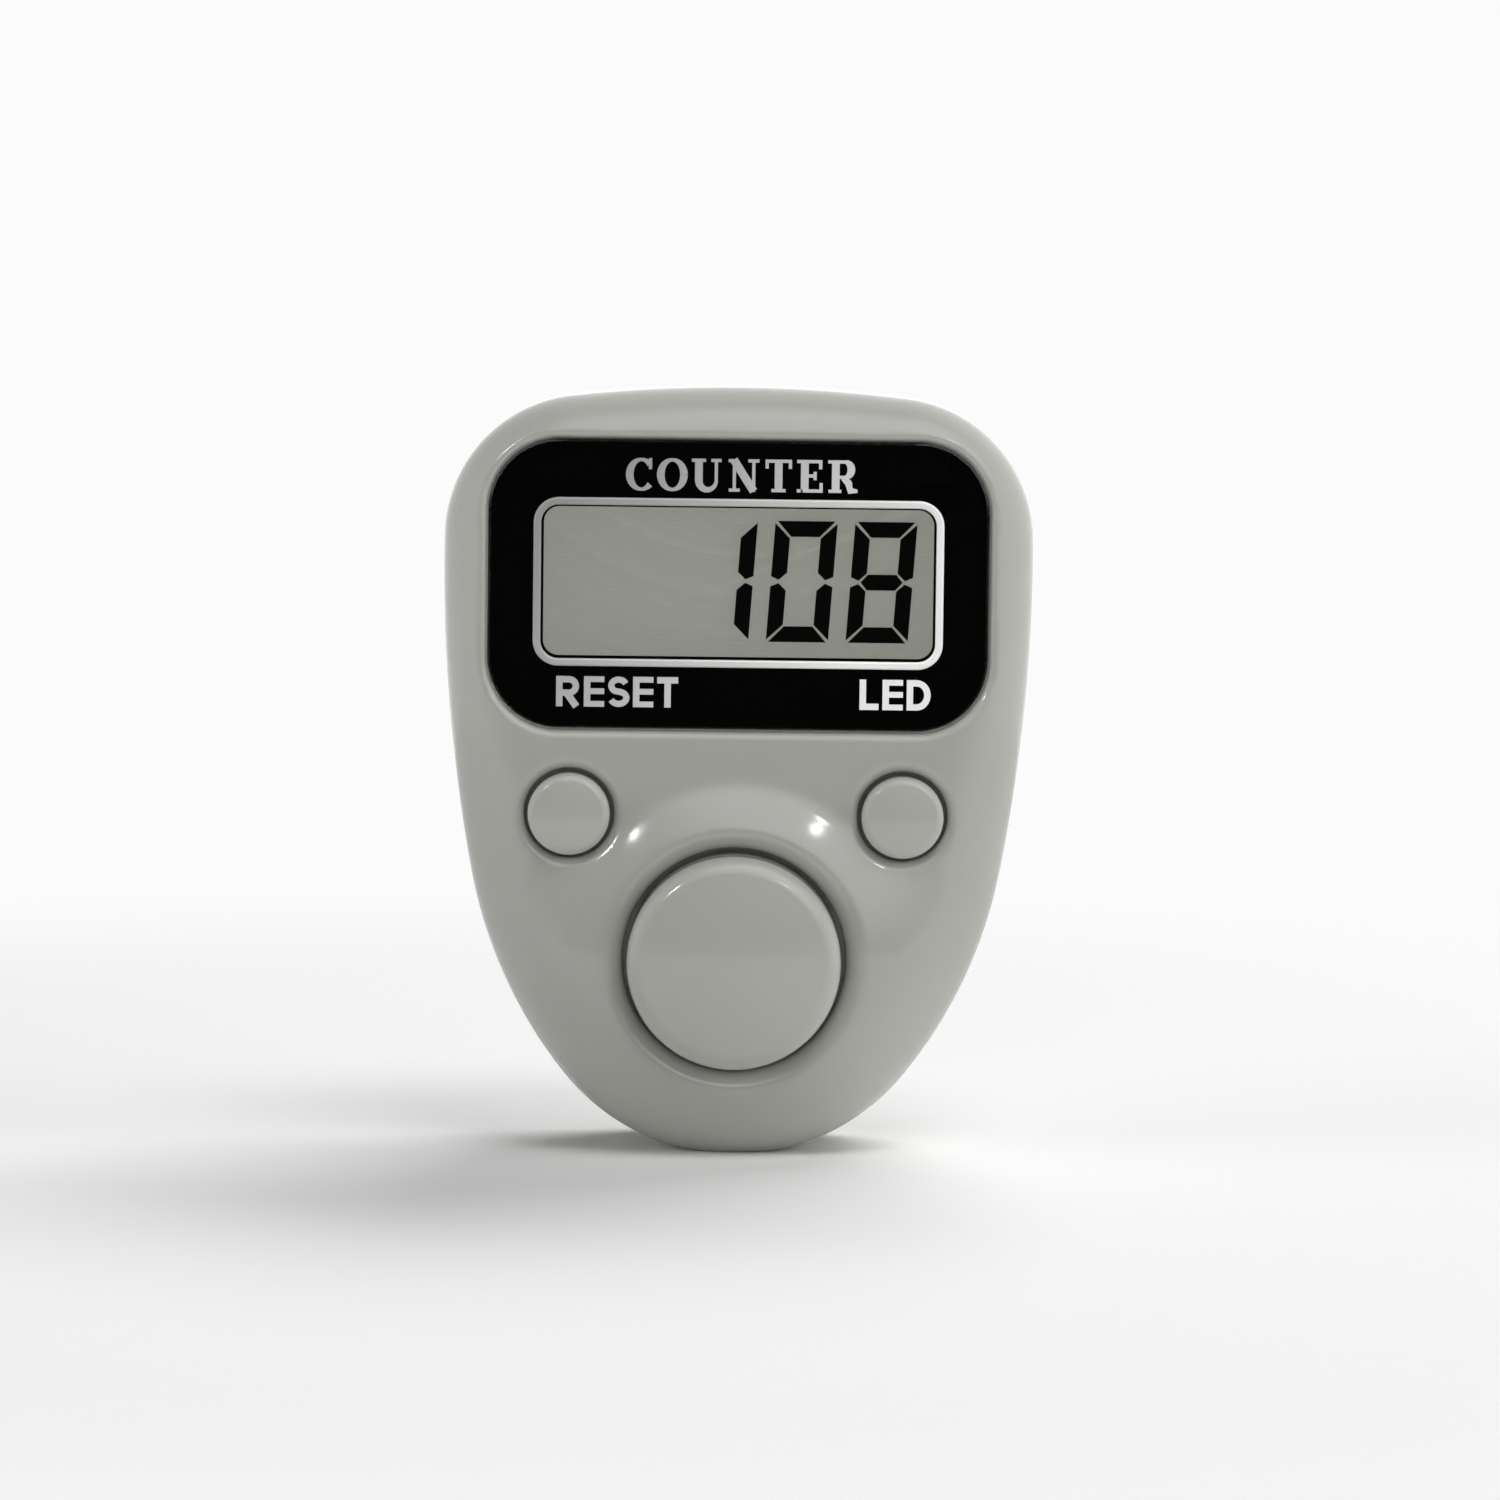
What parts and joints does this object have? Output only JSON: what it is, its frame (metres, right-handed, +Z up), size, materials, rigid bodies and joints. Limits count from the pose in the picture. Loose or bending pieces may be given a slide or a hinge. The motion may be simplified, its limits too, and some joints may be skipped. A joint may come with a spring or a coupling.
{
  "type": "hand tally counter",
  "caption": "Electronic hand tally counter: egg-shaped plastic case, black display window with a liquid-crystal panel, two small round buttons and a large round count button in a raised collar.",
  "frame": {"origin": "centre of the bounding box's underside, on the flat foot that the counter stands on", "axes": "+Z up through the display, -Y out of the front face, +X to the right seen from the front"},
  "size_m": [0.0292, 0.0174, 0.0379],
  "materials": {
    "case_shell": "satin, fine mould texture",
    "button_cap": "satin",
    "silicone": "translucent grey",
    "carbon_rubber": "matte",
    "window_clear": "clear acrylic, polished",
    "mask_black": "black print seen through the window",
    "trim_silver": "satin metal",
    "polarizer_film": "grey film",
    "lcd_glass": "clear, polished edges",
    "transflector_film": "grey-green, faintly pearly",
    "guide_clear": "milky clear",
    "zebra_rubber": "fine black and pink stripes",
    "board_laminate": "green solder mask",
    "epoxy_black": "glossy epoxy",
    "led_package": "white with a clear lens",
    "chip_black": "ceramic with tinned ends",
    "chip_tan": "tan ceramic",
    "cell_steel": "polished nickel plate",
    "cell_seal": "off-white nylon",
    "contact_metal": "nickel plated spring",
    "seal_rubber": "matte",
    "screw_steel": "zinc plated"
  },
  "bodies": {
    "case": {"front_case": "case_shell", "rear_case": "case_shell", "main_dome": "silicone", "reset_dome": "silicone", "led_dome": "silicone", "display_window": "window_clear", "window_mask": "mask_black", "display_trim": "trim_silver", "lcd_front_polarizer": "polarizer_film", "lcd_front_glass": "lcd_glass", "lcd_rear_glass": "lcd_glass", "lcd_transflector": "transflector_film", "light_guide": "guide_clear", "zebra_strip": "zebra_rubber", "circuit_board": "board_laminate", "controller_chip": "epoxy_black", "backlight_leds": "led_package", "chip_resistors": "chip_black", "chip_capacitor": "chip_tan", "coin_cell_can": "cell_steel", "coin_cell_cap": "cell_steel", "coin_cell_seal": "cell_seal", "negative_contact": "contact_metal", "positive_contact": "contact_metal", "case_screws": "screw_steel"},
    "count_button": {"main_button": "button_cap", "main_pill": "carbon_rubber"},
    "reset_key": {"reset_button": "button_cap", "reset_pill": "carbon_rubber"},
    "light_key": {"led_button": "button_cap", "led_pill": "carbon_rubber"},
    "cell_cover": {"battery_cover": "case_shell", "cover_seal": "seal_rubber"}
  },
  "joints": [
    {"name": "count_press", "type": "slide", "parent": "case", "child": "count_button", "axis": [0, 1, 0], "range_m": [0, 0.0008], "stiffness_N_per_m": 1500, "deforming": ["main_dome"]},
    {"name": "reset_press", "type": "slide", "parent": "case", "child": "reset_key", "axis": [0, 1, 0], "range_m": [0, 0.0007], "stiffness_N_per_m": 1500, "deforming": ["reset_dome"]},
    {"name": "light_press", "type": "slide", "parent": "case", "child": "light_key", "axis": [0, 1, 0], "range_m": [0, 0.0007], "stiffness_N_per_m": 1500, "deforming": ["led_dome"]},
    {"name": "cover_twist", "type": "hinge", "parent": "case", "child": "cell_cover", "pos_m": [0, 0.0045, 0.021], "axis": [0, 1, 0], "range_deg": [0, 60]}
  ]
}
